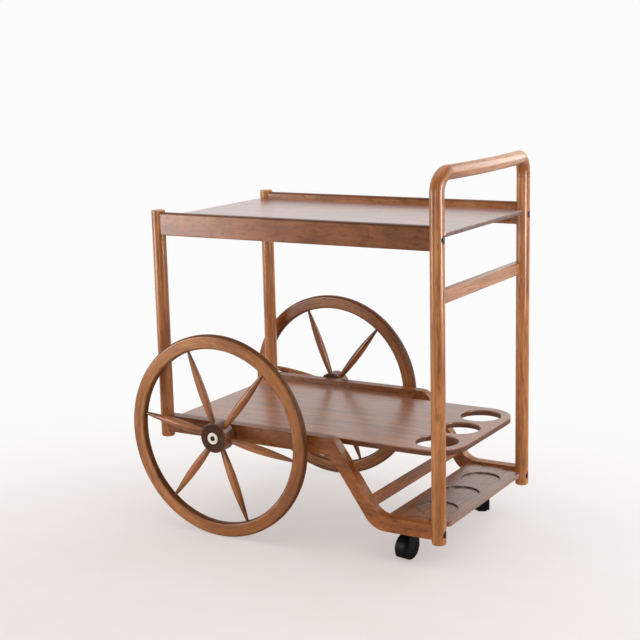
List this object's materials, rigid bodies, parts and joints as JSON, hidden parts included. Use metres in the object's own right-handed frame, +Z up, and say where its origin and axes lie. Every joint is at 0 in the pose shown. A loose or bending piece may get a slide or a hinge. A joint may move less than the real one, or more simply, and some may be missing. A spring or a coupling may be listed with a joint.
{
  "type": "serving cart",
  "caption": "Wooden serving cart with a framed upper tray, a lower shelf with bottle holes, large spoked wheels, swivel castors and a bowed push handle.",
  "frame": {"origin": "on the floor, under the middle of the cart", "axes": "+Z up, +X towards the push handle, +Y towards the far side, which mirrors the near side"},
  "size_m": [0.7675, 0.5492, 0.819],
  "materials": {
    "wood": "glossy lacquer over mid reddish-brown stain",
    "panel": "glossy lacquer, fine grain along the cart",
    "dark_wood": "satin lacquer, dark end grain",
    "dark_steel": "dark bronze finish",
    "brass": "plain turned",
    "ivory": "smooth",
    "black_plastic": "fine satin",
    "tread": "smooth tread"
  },
  "bodies": {
    "frame": {"near_front_post": "wood", "far_front_post": "wood", "near_rear_post": "wood", "far_rear_post": "wood", "handle_bar": "wood", "near_handle_corner": "wood", "far_handle_corner": "wood", "handle_dowels": "wood", "near_apron": "wood", "far_apron": "wood", "rear_cross_rail": "wood", "rear_rail_dowels": "wood", "near_stringer": "wood", "far_stringer": "wood", "lower_cross_rail": "wood", "lower_rail_dowels": "wood", "castor_batten": "wood", "tray_panel": "panel", "lower_shelf": "panel", "near_bottle_board": "panel", "middle_bottle_board": "panel", "far_bottle_board": "panel", "bottle_shelf": "panel", "frame_bolts": "dark_steel", "near_axle_screw": "dark_steel", "far_axle_screw": "dark_steel", "near_axle_spacer": "dark_steel", "far_axle_spacer": "dark_steel", "near_castor_plate": "dark_steel", "far_castor_plate": "dark_steel", "near_castor_screws": "dark_steel", "far_castor_screws": "dark_steel", "thread_inserts": "brass", "near_axle_insert": "brass", "far_axle_insert": "brass"},
    "near_wheel": {"near_rim": "wood", "near_spokes": "wood", "near_hub": "dark_wood", "near_hub_bush": "ivory"},
    "near_castor": {"near_castor_hood": "black_plastic", "near_castor_axle": "dark_steel"},
    "near_roller": {"near_castor_wheel": "tread"},
    "far_wheel": {"far_rim": "wood", "far_spokes": "wood", "far_hub": "dark_wood", "far_hub_bush": "ivory"},
    "far_castor": {"far_castor_hood": "black_plastic", "far_castor_axle": "dark_steel"},
    "far_roller": {"far_castor_wheel": "tread"}
  },
  "joints": [
    {"name": "near_wheel_spin", "type": "hinge", "parent": "frame", "child": "near_wheel", "pos_m": [-0.15875, -0.25385, 0.225], "axis": [0, 1, 0], "continuous": true},
    {"name": "near_castor_swivel", "type": "hinge", "parent": "frame", "child": "near_castor", "pos_m": [0.27525, -0.169, 0.05], "axis": [0, 0, 1], "continuous": true},
    {"name": "near_castor_roll", "type": "hinge", "parent": "near_castor", "child": "near_roller", "pos_m": [0.27091, -0.19362, 0.025], "axis": [0.9848, -0.1736, 0], "continuous": true},
    {"name": "far_wheel_spin", "type": "hinge", "parent": "frame", "child": "far_wheel", "pos_m": [-0.15875, 0.25385, 0.225], "axis": [0, 1, 0], "continuous": true},
    {"name": "far_castor_swivel", "type": "hinge", "parent": "frame", "child": "far_castor", "pos_m": [0.27525, 0.169, 0.05], "axis": [0, 0, 1], "continuous": true},
    {"name": "far_castor_roll", "type": "hinge", "parent": "far_castor", "child": "far_roller", "pos_m": [0.28621, 0.14653, 0.025], "axis": [0.8988, 0.4384, 0], "continuous": true}
  ]
}
